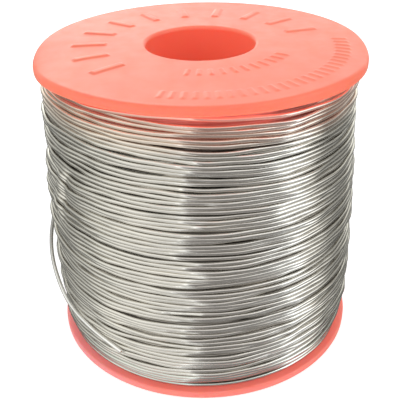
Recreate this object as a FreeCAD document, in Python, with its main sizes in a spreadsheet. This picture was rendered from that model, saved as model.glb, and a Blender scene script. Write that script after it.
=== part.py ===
import FreeCAD, Part
import Sketcher
import math
import os

from FreeCAD import Vector

# Solder wire spool: two moulded spool halves pressed together, one length of
# flux-cored solder wire wound on them in layers, and the wire's free end.
# Millimetres, +Z up. The spool's axis is Z and the spool stands on Z = 0.
# -Y is the front.

doc = FreeCAD.newDocument("solder_wire_spool")

# ---------------------------------------------------------------- dimensions
sheet = doc.addObject("Spreadsheet::Sheet", "Sizes")
SIZES = [
    # the moulded spool
    ("flange_rad", 32.0, "outer radius of both flanges"),
    ("rim_top", 61.7, "height of the upper flange's top edge"),
    ("lip_top", 62.1, "height of the slightly crowned upper face at the bore"),
    ("flange_thk", 1.75, "flange thickness at the rim"),
    ("rim_low", 59.95, "inner face of the upper flange"),
    ("bore_rad", 10.5, "spindle bore"),
    ("hub_rad", 12.5, "outside of the hub"),
    ("joint_rad", 11.5, "where the spigot sits in the socket"),
    ("split_z", 30.85, "where the two halves' hub walls meet"),
    ("socket_floor", 24.85, "floor of the socket in the lower half"),
    ("spigot_end", 24.95, "free end of the upper half's spigot"),
    ("bead_z", 27.6, "height of the snap bead and its groove"),
    ("bead_rad", 0.25, "radius of the snap bead"),
    ("bead_gap_rad", 0.28, "radius of the groove that takes the bead"),
    ("rim_round", 0.55, "rounding of the outer rim edges"),
    ("rim_round_in", 0.25, "rounding of the rims' inner edges"),
    ("lip_round", 0.4, "rounding of the bore's lips"),
    # moulded marks on the upper face: plain raised bars
    ("mark_base", 61.2, "level inside the flange where the marks start"),
    ("mark_high", 0.88, "height of the long marks from that level"),
    ("tick_high", 0.76, "height of the outer ticks from that level"),
    ("tick_in_high", 0.96, "height of the inner ticks from that level"),
    ("bar_in", 18.2, "long marks, inner radius"),
    ("bar_out", 24.8, "long marks, outer radius"),
    ("bar_half", 0.75, "long marks, half width"),
    ("tick_in", 25.7, "outer ticks, inner radius"),
    ("tick_out", 28.5, "outer ticks, outer radius"),
    ("tick_half", 0.32, "outer ticks, half width"),
    ("small_in", 15.6, "inner ticks, inner radius"),
    ("small_out", 18.2, "inner ticks, outer radius"),
    ("small_half", 0.32, "inner ticks, half width"),
    # anchor of the wire's inner end
    ("anchor_deep", 0.88, "depth of the anchor groove in the hub"),
    ("anchor_half", 0.45, "half width of the anchor groove"),
    ("anchor_top", 14.6, "upper end of the anchor groove"),
    # the wire and its winding
    ("wire_rad", 0.4, "wire radius"),
    ("core_rad", 0.135, "radius of the flux core"),
    ("turns", 66, "turns in the outer layer"),
    ("layer_step", 0.74, "radial step of the outer two layers"),
    ("valley", 0.33, "depth of the valley between two turns"),
    ("wind_z1", 8.0, "level of the winding's second profile point"),
    ("wind_z2", 22.0, "level of the third"),
    ("wind_z3", 42.0, "level of the fourth"),
    ("wind_r0", 30.9, "winding radius at the lower flange"),
    ("wind_r1", 31.6, "winding radius at wind_z1"),
    ("wind_r2", 31.8, "winding radius at wind_z2"),
    ("wind_r3", 31.45, "winding radius at wind_z3"),
    ("wind_r4", 30.6, "winding radius at the upper flange"),
    ("start_low", 2.2, "lower end of the wire's inner end"),
    ("start_len", 12.0, "length of the wire's inner end in its groove"),
]
for row, (alias, value, note) in enumerate(SIZES, 1):
    sheet.set("A%d" % row, alias)
    sheet.set("B%d" % row, str(value))
    sheet.set("C%d" % row, note)
    sheet.setAlias("B%d" % row, alias)
doc.recompute()


def size(alias):
    return float(sheet.get(alias))


NUMBERS = {alias: value for alias, value, note in SIZES}


def bound(text):
    """A formula of sheet aliases as an expression and as a number."""
    words = text.split()
    expression = " ".join("Sizes." + w if w in NUMBERS else w for w in words)
    total, sign = 0.0, 1.0
    for w in words:
        if w in ("+", "-"):
            sign = 1.0 if w == "+" else -1.0
        else:
            total += sign * (size(w) if w in NUMBERS else float(w))
    return expression, total


def plane(body, role):
    for feature in body.Origin.OriginFeatures:
        if feature.Role == role:
            return feature
    raise ValueError(role)


def new_sketch(body, name, role, lift=0.0):
    sketch = body.newObject("Sketcher::SketchObject", name)
    sketch.AttachmentSupport = (plane(body, role), [""])
    sketch.MapMode = "FlatFace"
    if lift:
        sketch.AttachmentOffset = FreeCAD.Placement(
            Vector(0, 0, lift), FreeCAD.Rotation()
        )
    return sketch


def outline(sketch, points):
    """A closed polyline whose corners are bound to the sheet. points are pairs of formulas."""
    numbers = [(bound(a)[1], bound(b)[1]) for a, b in points]
    count = len(points)
    for i in range(count):
        a, b = numbers[i], numbers[(i + 1) % count]
        sketch.addGeometry(
            Part.LineSegment(Vector(a[0], a[1], 0), Vector(b[0], b[1], 0)), False
        )
    for i in range(count):
        sketch.addConstraint(
            Sketcher.Constraint("Coincident", i, 2, (i + 1) % count, 1)
        )
    for i, (a, b) in enumerate(points):
        for kind, text, value in (
            ("DistanceX", a, numbers[i][0]),
            ("DistanceY", b, numbers[i][1]),
        ):
            if abs(value) < 1e-9:
                axis = -1 if kind == "DistanceY" else -2
                sketch.addConstraint(
                    Sketcher.Constraint("PointOnObject", i, 1, axis)
                )
                continue
            if value > 0:
                new = Sketcher.Constraint(kind, -1, 1, i, 1, value)
            else:
                new = Sketcher.Constraint(kind, i, 1, -1, 1, -value)
            index = sketch.addConstraint(new)
            expression = bound(text)[0]
            if value < 0:
                expression = "-(" + expression + ")"
            sketch.setExpression("Constraints[%d]" % index, expression)
    return sketch


def turned(label, points):
    """A body turned about Z from an outline in the XZ plane."""
    body = doc.addObject("PartDesign::Body", label)
    body.Label = label
    sketch = outline(new_sketch(body, label + "_section", "XZ_Plane"), points)
    turn = body.newObject("PartDesign::Revolution", label + "_turned")
    turn.Profile = sketch
    turn.ReferenceAxis = (sketch, ["V_Axis"])
    turn.Angle = 360.0
    doc.recompute()
    body.Tip = turn
    return body, turn


def rounded(body, base, rings, alias, name):
    """Fillets the circular edges at (radius, height)."""
    found = []
    for number, edge in enumerate(base.Shape.Edges, 1):
        curve = edge.Curve
        if not isinstance(curve, Part.Circle):
            continue
        for radius, height in rings:
            if (
                abs(curve.Radius - radius) < 1e-4
                and abs(curve.Center.z - height) < 1e-4
            ):
                found.append("Edge%d" % number)
    if len(found) != len(rings):
        raise ValueError("%s: %d edges for %d rings" % (name, len(found), len(rings)))
    feature = body.newObject("PartDesign::Fillet", name)
    feature.Base = (base, found)
    feature.setExpression("Radius", "Sizes." + alias)
    doc.recompute()
    body.Tip = feature
    return feature


def ring_of_bars(body, name, low, high, half, tall, first, step, count):
    """Plain raised bars on the upper face, one pad and its polar pattern."""
    sketch = outline(
        new_sketch(body, name + "_outline", "XY_Plane", size("mark_base")),
        [
            (low, "- " + half),
            (high, "- " + half),
            (high, half),
            (low, half),
        ],
    )
    sketch.AttachmentOffset = FreeCAD.Placement(
        Vector(0, 0, size("mark_base")), FreeCAD.Rotation(Vector(0, 0, 1), first)
    )
    sketch.setExpression(".AttachmentOffset.Base.z", "Sizes.mark_base")
    pad = body.newObject("PartDesign::Pad", name + "_pad")
    pad.Profile = sketch
    pad.setExpression("Length", "Sizes." + tall)
    doc.recompute()
    pattern = body.newObject("PartDesign::PolarPattern", name + "_ring")
    pattern.Originals = [pad]
    pattern.Axis = (plane(body, "Z_Axis"), [""])
    pattern.Angle = step * (count - 1)
    pattern.Occurrences = count
    body.Tip = pattern
    doc.recompute()
    return pattern


# ---------------------------------------------------------------- lower half
# Flange and half of the hub in one moulding. The hub's top is a socket.
lower_half, step = turned(
    "lower_half",
    [
        ("bore_rad", "0"),
        ("flange_rad", "0"),
        ("flange_rad", "flange_thk"),
        ("hub_rad", "flange_thk"),
        ("hub_rad", "split_z"),
        ("joint_rad", "split_z"),
        ("joint_rad", "socket_floor"),
        ("bore_rad", "socket_floor"),
    ],
)
step = rounded(
    lower_half, step, [(size("flange_rad"), 0.0)], "rim_round", "lower_rim_round"
)
step = rounded(
    lower_half,
    step,
    [(size("flange_rad"), size("flange_thk"))],
    "rim_round_in",
    "lower_rim_inner_round",
)
step = rounded(
    lower_half, step, [(size("bore_rad"), 0.0)], "lip_round", "lower_lip_round"
)
before = lower_half.Shape.Volume
# groove in the socket for the snap bead
groove_sketch = new_sketch(lower_half, "bead_groove_section", "XZ_Plane")
groove_sketch.addGeometry(
    Part.Circle(
        Vector(size("joint_rad"), size("bead_z"), 0), Vector(0, 0, 1), size("bead_gap_rad")
    ),
    False,
)
for kind, text in (("DistanceX", "joint_rad"), ("DistanceY", "bead_z")):
    index = groove_sketch.addConstraint(
        Sketcher.Constraint(kind, -1, 1, 0, 3, size(text))
    )
    groove_sketch.setExpression("Constraints[%d]" % index, "Sizes." + text)
index = groove_sketch.addConstraint(
    Sketcher.Constraint("Radius", 0, size("bead_gap_rad"))
)
groove_sketch.setExpression("Constraints[%d]" % index, "Sizes.bead_gap_rad")
groove = lower_half.newObject("PartDesign::Groove", "bead_groove")
groove.Profile = groove_sketch
groove.ReferenceAxis = (groove_sketch, ["V_Axis"])
groove.Angle = 360.0
lower_half.Tip = groove
doc.recompute()
print("bead groove takes", round(before - lower_half.Shape.Volume, 3), "mm3")
# axial groove in the hub where the wire's inner end lies
before = lower_half.Shape.Volume
anchor_sketch = outline(
    new_sketch(lower_half, "anchor_outline", "XY_Plane", size("flange_thk")),
    [
        ("hub_rad - anchor_deep", "- anchor_half"),
        ("hub_rad + 0.5", "- anchor_half"),
        ("hub_rad + 0.5", "anchor_half"),
        ("hub_rad - anchor_deep", "anchor_half"),
    ],
)
anchor_sketch.setExpression(".AttachmentOffset.Base.z", "Sizes.flange_thk")
anchor = lower_half.newObject("PartDesign::Pocket", "anchor_groove")
anchor.Profile = anchor_sketch
anchor.Type = "Length"
anchor.setExpression("Length", "Sizes.anchor_top - Sizes.flange_thk")
anchor.Reversed = True
lower_half.Tip = anchor
doc.recompute()
print("anchor groove takes", round(before - lower_half.Shape.Volume, 3), "mm3")

# ---------------------------------------------------------------- upper half
# The same moulding with a spigot in place of the socket, and a slightly
# crowned upper face with plain raised marks.
upper_half, step = turned(
    "upper_half",
    [
        ("bore_rad", "lip_top"),
        ("flange_rad", "rim_top"),
        ("flange_rad", "rim_low"),
        ("hub_rad", "rim_low"),
        ("hub_rad", "split_z"),
        ("joint_rad", "split_z"),
        ("joint_rad", "spigot_end"),
        ("bore_rad", "spigot_end"),
    ],
)
step = rounded(
    upper_half,
    step,
    [(size("flange_rad"), size("rim_top"))],
    "rim_round",
    "upper_rim_round",
)
step = rounded(
    upper_half,
    step,
    [(size("flange_rad"), size("rim_low"))],
    "rim_round_in",
    "upper_rim_inner_round",
)
step = rounded(
    upper_half,
    step,
    [(size("bore_rad"), size("lip_top"))],
    "lip_round",
    "upper_lip_round",
)
before = upper_half.Shape.Volume
bead_sketch = new_sketch(upper_half, "bead_section", "XZ_Plane")
bead_sketch.addGeometry(
    Part.Circle(
        Vector(size("joint_rad"), size("bead_z"), 0), Vector(0, 0, 1), size("bead_rad")
    ),
    False,
)
for kind, text in (("DistanceX", "joint_rad"), ("DistanceY", "bead_z")):
    index = bead_sketch.addConstraint(
        Sketcher.Constraint(kind, -1, 1, 0, 3, size(text))
    )
    bead_sketch.setExpression("Constraints[%d]" % index, "Sizes." + text)
index = bead_sketch.addConstraint(Sketcher.Constraint("Radius", 0, size("bead_rad")))
bead_sketch.setExpression("Constraints[%d]" % index, "Sizes.bead_rad")
bead = upper_half.newObject("PartDesign::Revolution", "snap_bead")
bead.Profile = bead_sketch
bead.ReferenceAxis = (bead_sketch, ["V_Axis"])
bead.Angle = 360.0
upper_half.Tip = bead
doc.recompute()
print("snap bead adds", round(upper_half.Shape.Volume - before, 3), "mm3")
# marks: angles from +X, counterclockwise; -90 is the front
for name, low, high, half, tall, first, pitch, count in (
    ("long_marks", "bar_in", "bar_out", "bar_half", "mark_high", 20.0, 20.0, 11),
    ("outer_ticks", "tick_in", "tick_out", "tick_half", "tick_high", -104.0, 4.0, 28),
    ("inner_ticks", "small_in", "small_out", "small_half", "tick_in_high", -98.0, 7.0, 11),
):
    before = upper_half.Shape.Volume
    ring_of_bars(upper_half, name, low, high, half, tall, first, pitch, count)
    print(name, "add", round(upper_half.Shape.Volume - before, 3), "mm3")

# ---------------------------------------------------------------- the winding
# Levels and radii of the winding's outside, from flange to flange.
LEVELS = ["flange_thk", "wind_z1", "wind_z2", "wind_z3", "rim_low"]
RADII = ["wind_r0", "wind_r1", "wind_r2", "wind_r3", "wind_r4"]


def outside(level):
    zs, rs = [size(a) for a in LEVELS], [size(a) for a in RADII]
    for i in range(4):
        if level <= zs[i + 1] or i == 3:
            share = (level - zs[i]) / (zs[i + 1] - zs[i])
            return rs[i] + share * (rs[i + 1] - rs[i])


# first layer, wound straight on the hub
wire_base_layer, step = turned(
    "wire_base_layer",
    [
        ("hub_rad", "flange_thk"),
        ("hub_rad + wire_rad + wire_rad", "flange_thk"),
        ("hub_rad + wire_rad + wire_rad", "rim_low"),
        ("hub_rad", "rim_low"),
    ],
)
# all the layers between the first and the last two
wire_inner_layers, step = turned(
    "wire_inner_layers",
    [
        ("hub_rad + wire_rad + wire_rad", "rim_low"),
        ("hub_rad + wire_rad + wire_rad", "flange_thk"),
    ]
    + [(r + " - layer_step - layer_step", z) for r, z in zip(RADII, LEVELS)],
)
# the last layer but one
wire_under_layer, step = turned(
    "wire_under_layer",
    [(r + " - layer_step - layer_step", z) for r, z in zip(RADII[::-1], LEVELS[::-1])]
    + [(r + " - layer_step", z) for r, z in zip(RADII, LEVELS)],
)

# the last layer: one rib for each ring of wire, with a valley between two
count = int(size("turns"))
low, high = size("flange_thk"), size("rim_low")
pitch = (high - low) / count
corners = [Vector(outside(z) - size("layer_step"), 0, z) for z in (size(a) for a in LEVELS)]
for i in range(count, -1, -1):
    valley = low + i * pitch
    corners.append(Vector(outside(valley) - size("valley"), 0, valley))
    if i:
        for share in (0.7, 0.3):
            z = low + (i - 1 + share) * pitch
            corners.append(Vector(outside(z), 0, z))
corners.append(corners[0])
section = Part.Face(Part.makePolygon(corners))
wire_outer_layer = doc.addObject("Part::Feature", "wire_outer_layer")
wire_outer_layer.Label = "wire_outer_layer"
wire_outer_layer.Shape = section.revolve(Vector(0, 0, 0), Vector(0, 0, 1), 360)
wire_outer_layer.Placement = FreeCAD.Placement()

# the wire's inner end, laid in the hub's groove under the first layer
wire_start_end = doc.addObject("Part::Cylinder", "wire_start_end")
wire_start_end.Label = "wire_start_end"
wire_start_end.setExpression("Radius", "Sizes.wire_rad")
wire_start_end.setExpression("Height", "Sizes.start_len")
wire_start_end.setExpression(".Placement.Base.x", "Sizes.hub_rad - Sizes.wire_rad - 0.03")
wire_start_end.setExpression(".Placement.Base.z", "Sizes.start_low")

# ---------------------------------------------------------------- free end
# The free end peels off the outer layer behind the left side, springs clear of
# the winding as it drops, and comes to lie on the lower turns at the front
# left. Points are (angle from the front, level, radius); left is negative.
ROUTE = [
    (-147.0, 36.90, 31.99),
    (-140.5, 36.85, 32.01),
    (-133.8, 36.60, 32.05),
    (-127.0, 35.90, 32.14),
    (-119.9, 34.12, 32.32),
    (-112.0, 30.98, 32.50),
    (-104.8, 27.78, 32.80),
    (-97.9, 24.63, 33.16),
    (-91.3, 21.74, 33.53),
    (-84.7, 19.15, 33.68),
    (-77.6, 16.64, 33.48),
    (-70.1, 14.35, 33.01),
    (-62.4, 12.53, 32.72),
    (-54.9, 11.44, 32.44),
    (-47.2, 10.76, 32.24),
    (-39.5, 9.98, 32.20),
    (-31.1, 8.72, 32.18),
]
points = [
    Vector(
        r * math.sin(math.radians(a)),
        -r * math.cos(math.radians(a)),
        z,
    )
    for a, z, r in ROUTE
]
print("free end, points in metres:")
for p in points:
    print("    (%.5f, %.5f, %.5f)," % (p.x / 1000, p.y / 1000, p.z / 1000))


def route_wire(points, stretch=0.0):
    """Straight runs joined by tangent arcs, each as large as its runs allow."""
    ends = list(points)
    if stretch:
        last = (ends[-1] - ends[-2]).normalize()
        ends[-1] = ends[-1] + last * stretch
    parts, at, radii = [], ends[0], []
    for before, corner, after in zip(ends, ends[1:], ends[2:]):
        one, two = corner - before, after - corner
        shorter = min(one.Length, two.Length)
        if corner is ends[-2]:
            shorter = min(one.Length, two.Length - stretch)
        turn = one.getAngle(two)
        radius = 0.45 * shorter / math.tan(turn / 2)
        radii.append(radius)
        back = radius * math.tan(turn / 2)
        one, two = one.normalize(), two.normalize()
        first, second = corner - one * back, corner + two * back
        bisector = (two - one).normalize()
        middle = corner + bisector * (radius / math.cos(turn / 2) - radius)
        parts.append(Part.LineSegment(at, first).toShape())
        parts.append(Part.Arc(first, middle, second).toShape())
        at = second
    parts.append(Part.LineSegment(at, ends[-1]).toShape())
    return Part.Wire(parts), radii


def swept(path, radius):
    start = path.Edges[0]
    at = start.valueAt(start.FirstParameter)
    along = start.tangentAt(start.FirstParameter)
    circle = Part.Wire([Part.Circle(at, along, radius).toShape()])
    return path.makePipeShell([circle], True, False)


path, radii = route_wire(points)
print("free end: %d runs, arc radii %s mm" % (len(points) - 1, [round(r, 1) for r in radii]))
runs = [(b - a).Length for a, b in zip(points, points[1:])]
print("runs", [round(r, 1) for r in runs])
core_path, core_radii = route_wire(points, 0.06)
outer = swept(path, size("wire_rad"))
hole = swept(path, size("core_rad"))
core = swept(core_path, size("core_rad"))
print(
    "free end: length %.2f mm, tube %.3f mm3 against %.3f, core %.3f mm3 against %.3f"
    % (
        path.Length,
        outer.Volume,
        math.pi * size("wire_rad") ** 2 * path.Length,
        core.Volume,
        math.pi * size("core_rad") ** 2 * core_path.Length,
    )
)
wire_loose_end = doc.addObject("Part::Feature", "wire_loose_end")
wire_loose_end.Label = "wire_loose_end"
sheath = outer.cut(hole)
wire_loose_end.Shape = sheath.Solids[0] if len(sheath.Solids) == 1 else sheath
wire_loose_end.Placement = FreeCAD.Placement()
flux_core = doc.addObject("Part::Feature", "flux_core")
flux_core.Label = "flux_core"
flux_core.Shape = core
flux_core.Placement = FreeCAD.Placement()

# ---------------------------------------------------------------- check, write
doc.recompute()
for thing in doc.Objects:
    state = [s for s in thing.State if s in ("Invalid", "Error")]
    if state:
        raise RuntimeError("%s: %s" % (thing.Label, state))
PIECES = [
    lower_half,
    upper_half,
    wire_start_end,
    wire_base_layer,
    wire_inner_layers,
    wire_under_layer,
    wire_outer_layer,
    wire_loose_end,
    flux_core,
]
os.makedirs("parts", exist_ok=True)
for piece in PIECES:
    shape = piece.Shape
    if shape.isNull() or not shape.isValid() or not shape.Solids:
        raise RuntimeError("%s has no valid solid" % piece.Label)
for piece in PIECES:
    shape = piece.Shape
    box = shape.BoundBox
    print(
        "%-18s %9.1f mm3  x %.2f..%.2f  y %.2f..%.2f  z %.2f..%.2f  solids %d"
        % (
            piece.Label,
            shape.Volume,
            box.XMin,
            box.XMax,
            box.YMin,
            box.YMax,
            box.ZMin,
            box.ZMax,
            len(shape.Solids),
        )
    )
    shape.exportStep("parts/%s.step" % piece.Label)
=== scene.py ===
import math

import bpy
import numpy as np
from mathutils import Matrix, Vector


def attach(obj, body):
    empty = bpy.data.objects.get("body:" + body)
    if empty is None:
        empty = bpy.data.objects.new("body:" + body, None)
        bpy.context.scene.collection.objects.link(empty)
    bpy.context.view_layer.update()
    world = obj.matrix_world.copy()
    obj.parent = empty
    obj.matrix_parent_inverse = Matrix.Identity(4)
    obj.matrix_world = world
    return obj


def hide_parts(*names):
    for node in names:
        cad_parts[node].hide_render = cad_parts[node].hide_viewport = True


# Solder wire spool: two moulded halves, the wire wound on them and its free end.
# Metres, +Z up, the spool's axis on Z, -Y towards the camera. Azimuth 0 is the
# front (-Y) and positive azimuths are to the camera's right (+X).

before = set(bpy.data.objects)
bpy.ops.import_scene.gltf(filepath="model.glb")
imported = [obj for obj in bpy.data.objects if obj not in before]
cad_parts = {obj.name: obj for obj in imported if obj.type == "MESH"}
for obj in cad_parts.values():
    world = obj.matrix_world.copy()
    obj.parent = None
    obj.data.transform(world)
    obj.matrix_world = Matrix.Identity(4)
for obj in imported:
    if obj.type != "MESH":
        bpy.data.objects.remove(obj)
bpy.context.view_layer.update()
MM = 0.001


# ------------------------------------------------------------------ camera
def add_camera():
    elev, pan, tilt, roll = (math.radians(v) for v in (28.60, -0.250, -1.282, 1.03))
    right = Vector((1, 0, 0))
    ahead = Vector((0, math.cos(elev), -math.sin(elev)))
    above = Vector((0, math.sin(elev), math.cos(elev)))
    x = right * math.cos(pan) - ahead * math.sin(pan)
    ahead = right * math.sin(pan) + ahead * math.cos(pan)
    y = above * math.cos(tilt) - ahead * math.sin(tilt)
    ahead = above * math.sin(tilt) + ahead * math.cos(tilt)
    c, s = math.cos(roll), math.sin(roll)
    x, y = c * x - s * y, s * x + c * y
    data = bpy.data.cameras.new("camera")
    data.sensor_width = 36.0
    data.lens = 63.594
    data.clip_start, data.clip_end = 0.005, 20.0
    cam = bpy.data.objects.new("camera", data)
    bpy.context.scene.collection.objects.link(cam)
    m = Matrix((x, y, -ahead)).transposed().to_4x4()
    m.translation = Vector((0.0, -0.13329, 0.10352))
    cam.matrix_world = m
    bpy.context.scene.camera = cam


add_camera()


# ------------------------------------------------------------------ materials
class Nodes:
    """A short way to write a node tree."""

    def __init__(self, name):
        self.material = bpy.data.materials.new(name)
        self.material.use_nodes = True
        self.tree = self.material.node_tree
        self.tree.nodes.clear()

    def new(self, kind, values=None, **props):
        node = self.tree.nodes.new(kind)
        for key, value in props.items():
            setattr(node, key, value)
        for key, value in (values or {}).items():
            if isinstance(value, bpy.types.NodeSocket):
                self.tree.links.new(value, node.inputs[key])
            else:
                node.inputs[key].default_value = value
        return node

    def math(self, operation, a, b=0.0, clamp=False):
        node = self.new("ShaderNodeMath", operation=operation, use_clamp=clamp)
        for slot, value in ((0, a), (1, b)):
            if isinstance(value, bpy.types.NodeSocket):
                self.tree.links.new(value, node.inputs[slot])
            else:
                node.inputs[slot].default_value = value
        return node.outputs[0]

    def noise(self, vector, scale, detail=2.0, rough=0.5):
        node = self.new(
            "ShaderNodeTexNoise",
            {"Vector": vector, "Scale": scale, "Detail": detail, "Roughness": rough},
        )
        return node.outputs["Fac"]

    def ramp(self, value, stops):
        node = self.new("ShaderNodeValToRGB", {"Fac": value})
        ramp = node.color_ramp
        while len(ramp.elements) < len(stops):
            ramp.elements.new(0.5)
        for element, (at, colour) in zip(ramp.elements, stops):
            element.position = at
            element.color = colour if len(colour) == 4 else (*colour, 1.0)
        return node.outputs["Color"]

    def grey(self, value, low, high, to_low, to_high):
        node = self.new(
            "ShaderNodeMapRange",
            {"Value": value, "From Min": low, "From Max": high, "To Min": to_low, "To Max": to_high},
        )
        return node.outputs[0]

    def scaled(self, vector, scale):
        node = self.new("ShaderNodeMapping", {"Vector": vector, "Scale": scale})
        return node.outputs[0]

    def finish(self, shader):
        out = self.new("ShaderNodeOutputMaterial")
        self.tree.links.new(shader.outputs[0], out.inputs["Surface"])
        return self.material


def wire_material(name, tint, rough_low, rough_high, painted_glow, painted_warmth, painted_fill=0.0, last=0.0):
    """Bright tin-lead wire. U runs along the wire in metres, V once round it."""
    n = Nodes(name)
    uv = n.new("ShaderNodeUVMap", uv_map="along").outputs[0]
    coords = n.new("ShaderNodeTexCoord").outputs["Object"]
    # long drawing lines, short scuffs and duller patches
    lines = n.noise(n.scaled(uv, (60.0, 9.0, 1.0)), 4.0, 3.0, 0.6)
    scuffs = n.noise(n.scaled(uv, (900.0, 3.0, 1.0)), 2.0, 2.0, 0.6)
    patches = n.noise(coords, 130.0, 3.0, 0.55)
    length = n.noise(n.scaled(uv, (1.0, 0.0, 1.0)), 26.0, 3.0, 0.65)
    tone = n.math("ADD", n.math("MULTIPLY", patches, 0.35), n.math("MULTIPLY", length, 0.65))
    colour = n.ramp(
        tone,
        [
            (0.32, tuple(v * 0.74 for v in tint)),
            (0.46, tuple(v * 0.93 for v in tint)),
            (0.56, tint),
            (0.70, (tint[0] * 1.10, tint[1] * 1.09, tint[2] * 1.06)),
        ],
    )
    rough = n.math(
        "ADD",
        n.grey(tone, 0.35, 0.65, rough_high, rough_low),
        n.math("MULTIPLY", n.math("SUBTRACT", scuffs, 0.5), 0.08),
    )
    bump = n.new(
        "ShaderNodeBump",
        {
            "Height": n.math("ADD", lines, n.math("MULTIPLY", scuffs, 0.5)),
            "Strength": 0.12,
            "Distance": 0.00002,
        },
    )
    # Painted light from the flanges on the turns beside them: a painted tint in the colour, warmer and redder near the
    # upper flange (weaker at the right) and a little less red just above the lower one; a painted red glow below the
    # upper flange; a painted warm reflection at the sides near it; and the turn that touches it painted with the
    # reddest glow.
    place = n.new("ShaderNodeSeparateXYZ", {"Vector": coords}).outputs
    x, z = place["X"], place["Z"]
    level = n.math("DIVIDE", z, 60.0 * MM)
    painted_flange_tint = n.ramp(
        level,
        [
            (2.0 / 60, (0.84, 1.0, 1.0)),
            (6.0 / 60, (1.0, 1.0, 1.0)),
            (52.0 / 60, (1.0, 1.0, 1.0)),
            (55.0 / 60, (1.10, 1.00, 0.93)),
            (57.0 / 60, (1.08, 0.95, 0.88)),
            (58.2 / 60, (1.08, 0.86, 0.79)),
            (59.4 / 60, (1.00, 0.62, 0.55)),
        ],
    )
    strong = n.grey(x, 8.0 * MM, 15.0 * MM, 1.0, 0.45)
    colour = n.new("ShaderNodeMixRGB", {"Fac": strong, "Color1": colour, "Color2": painted_flange_tint}, blend_type="MULTIPLY").outputs[0]
    aside = n.math("ABSOLUTE", n.math("ADD", x, -1.0 * MM))
    # painted red glow below the upper flange, weaker at the left
    painted_red_glow = n.math("ADD", n.grey(z, 52.5 * MM, 56.0 * MM, 0.0, painted_glow), n.grey(z, 56.0 * MM, 58.0 * MM, 0.0, painted_glow * 0.4))
    painted_red_glow = n.math("MULTIPLY", painted_red_glow, n.grey(x, -8.0 * MM, -3.0 * MM, 0.25, 1.0))
    # the last turn, where it touches the upper flange: a painted pink glow, as strong as last says
    over = n.math("SUBTRACT", z, n.grey(x, 6.0 * MM, 12.0 * MM, 58.25 * MM, 57.65 * MM))
    over = n.math("SUBTRACT", over, n.grey(x, -9.0 * MM, -4.0 * MM, 0.5 * MM, 0.0))
    painted_touch_glow = n.math("MULTIPLY", n.grey(over, 0.0, 0.4 * MM, 0.0, last), n.grey(aside, 9.0 * MM, 15.0 * MM, 1.0, 0.2))
    painted_touch_glow = n.math("MULTIPLY", painted_touch_glow, n.grey(x, -8.0 * MM, 3.0 * MM, 0.55, 1.0))
    # painted warm reflection of the upper flange on the turns at the sides
    beside = n.math("MULTIPLY", n.grey(z, 51.0 * MM, 55.0 * MM, 0.0, painted_warmth), n.grey(aside, 16.0 * MM, 23.0 * MM, 0.0, 1.0))
    # the painted glows summed; where there is no red glow, a faint painted fill light lifts the dark
    lit = [
        n.new("ShaderNodeMixRGB", {"Fac": fac, "Color1": low, "Color2": high}).outputs[0]
        for fac, low, high in (
            (painted_red_glow, (painted_fill, 0.92 * painted_fill, 0.84 * painted_fill, 1.0), (1.0, 0.17, 0.13, 1.0)),
            (beside, (0.0, 0.0, 0.0, 1.0), (1.0, 0.74, 0.56, 1.0)),
            (painted_touch_glow, (0.0, 0.0, 0.0, 1.0), (1.0, 0.25, 0.20, 1.0)),
        )
    ]
    for more in lit[1:]:
        lit[0] = n.new("ShaderNodeMixRGB", {"Fac": 1.0, "Color1": lit[0], "Color2": more}, blend_type="ADD").outputs[0]
    lit = lit[0]
    shader = n.new(
        "ShaderNodeBsdfPrincipled",
        {
            "Base Color": colour,
            "Metallic": 1.0,
            "Roughness": rough,
            "Emission Color": lit,
            "Emission Strength": 1.0,
            "Normal": bump.outputs[0],
        },
    )
    return n.finish(shader)


def sleeve_material():
    """The rows of wire deep inside, between the outer turns: their dark colour is painted shade."""
    n = Nodes("inner_wire_painted_shade")
    coords = n.new("ShaderNodeTexCoord").outputs["Object"]
    z = n.new("ShaderNodeSeparateXYZ", {"Vector": coords}).outputs["Z"]
    rows = n.math("SINE", n.math("MULTIPLY", z, 2 * math.pi / (0.8 * MM)))
    patches = n.noise(coords, 240.0, 3.0, 0.6)
    bump = n.new("ShaderNodeBump", {"Height": rows, "Strength": 1.0, "Distance": 0.00015})
    colour = n.ramp(patches, [(0.3, (0.22, 0.21, 0.19)), (0.7, (0.36, 0.34, 0.31))])
    # painted red glow: light through the flange reddening the turns right below it
    painted_glow = n.math("ADD", n.grey(z, 55.4 * MM, 57.2 * MM, 0.0, 0.34), n.grey(z, 58.0 * MM, 58.7 * MM, 0.0, 0.25))
    painted_glow = n.math("MULTIPLY", painted_glow, n.grey(patches, 0.3, 0.7, 0.85, 1.1))
    x = n.new("ShaderNodeSeparateXYZ", {"Vector": coords}).outputs["X"]
    painted_glow = n.math("MULTIPLY", painted_glow, n.grey(x, 11.0 * MM, 17.0 * MM, 1.0, 0.25))
    shader = n.new(
        "ShaderNodeBsdfPrincipled",
        {
            "Base Color": colour,
            "Metallic": 1.0,
            "Roughness": n.grey(patches, 0.3, 0.7, 0.35, 0.5),
            "Emission Color": (1.0, 0.145, 0.115, 1.0),
            "Emission Strength": painted_glow,
            "Normal": bump.outputs[0],
        },
    )
    return n.finish(shader)


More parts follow.
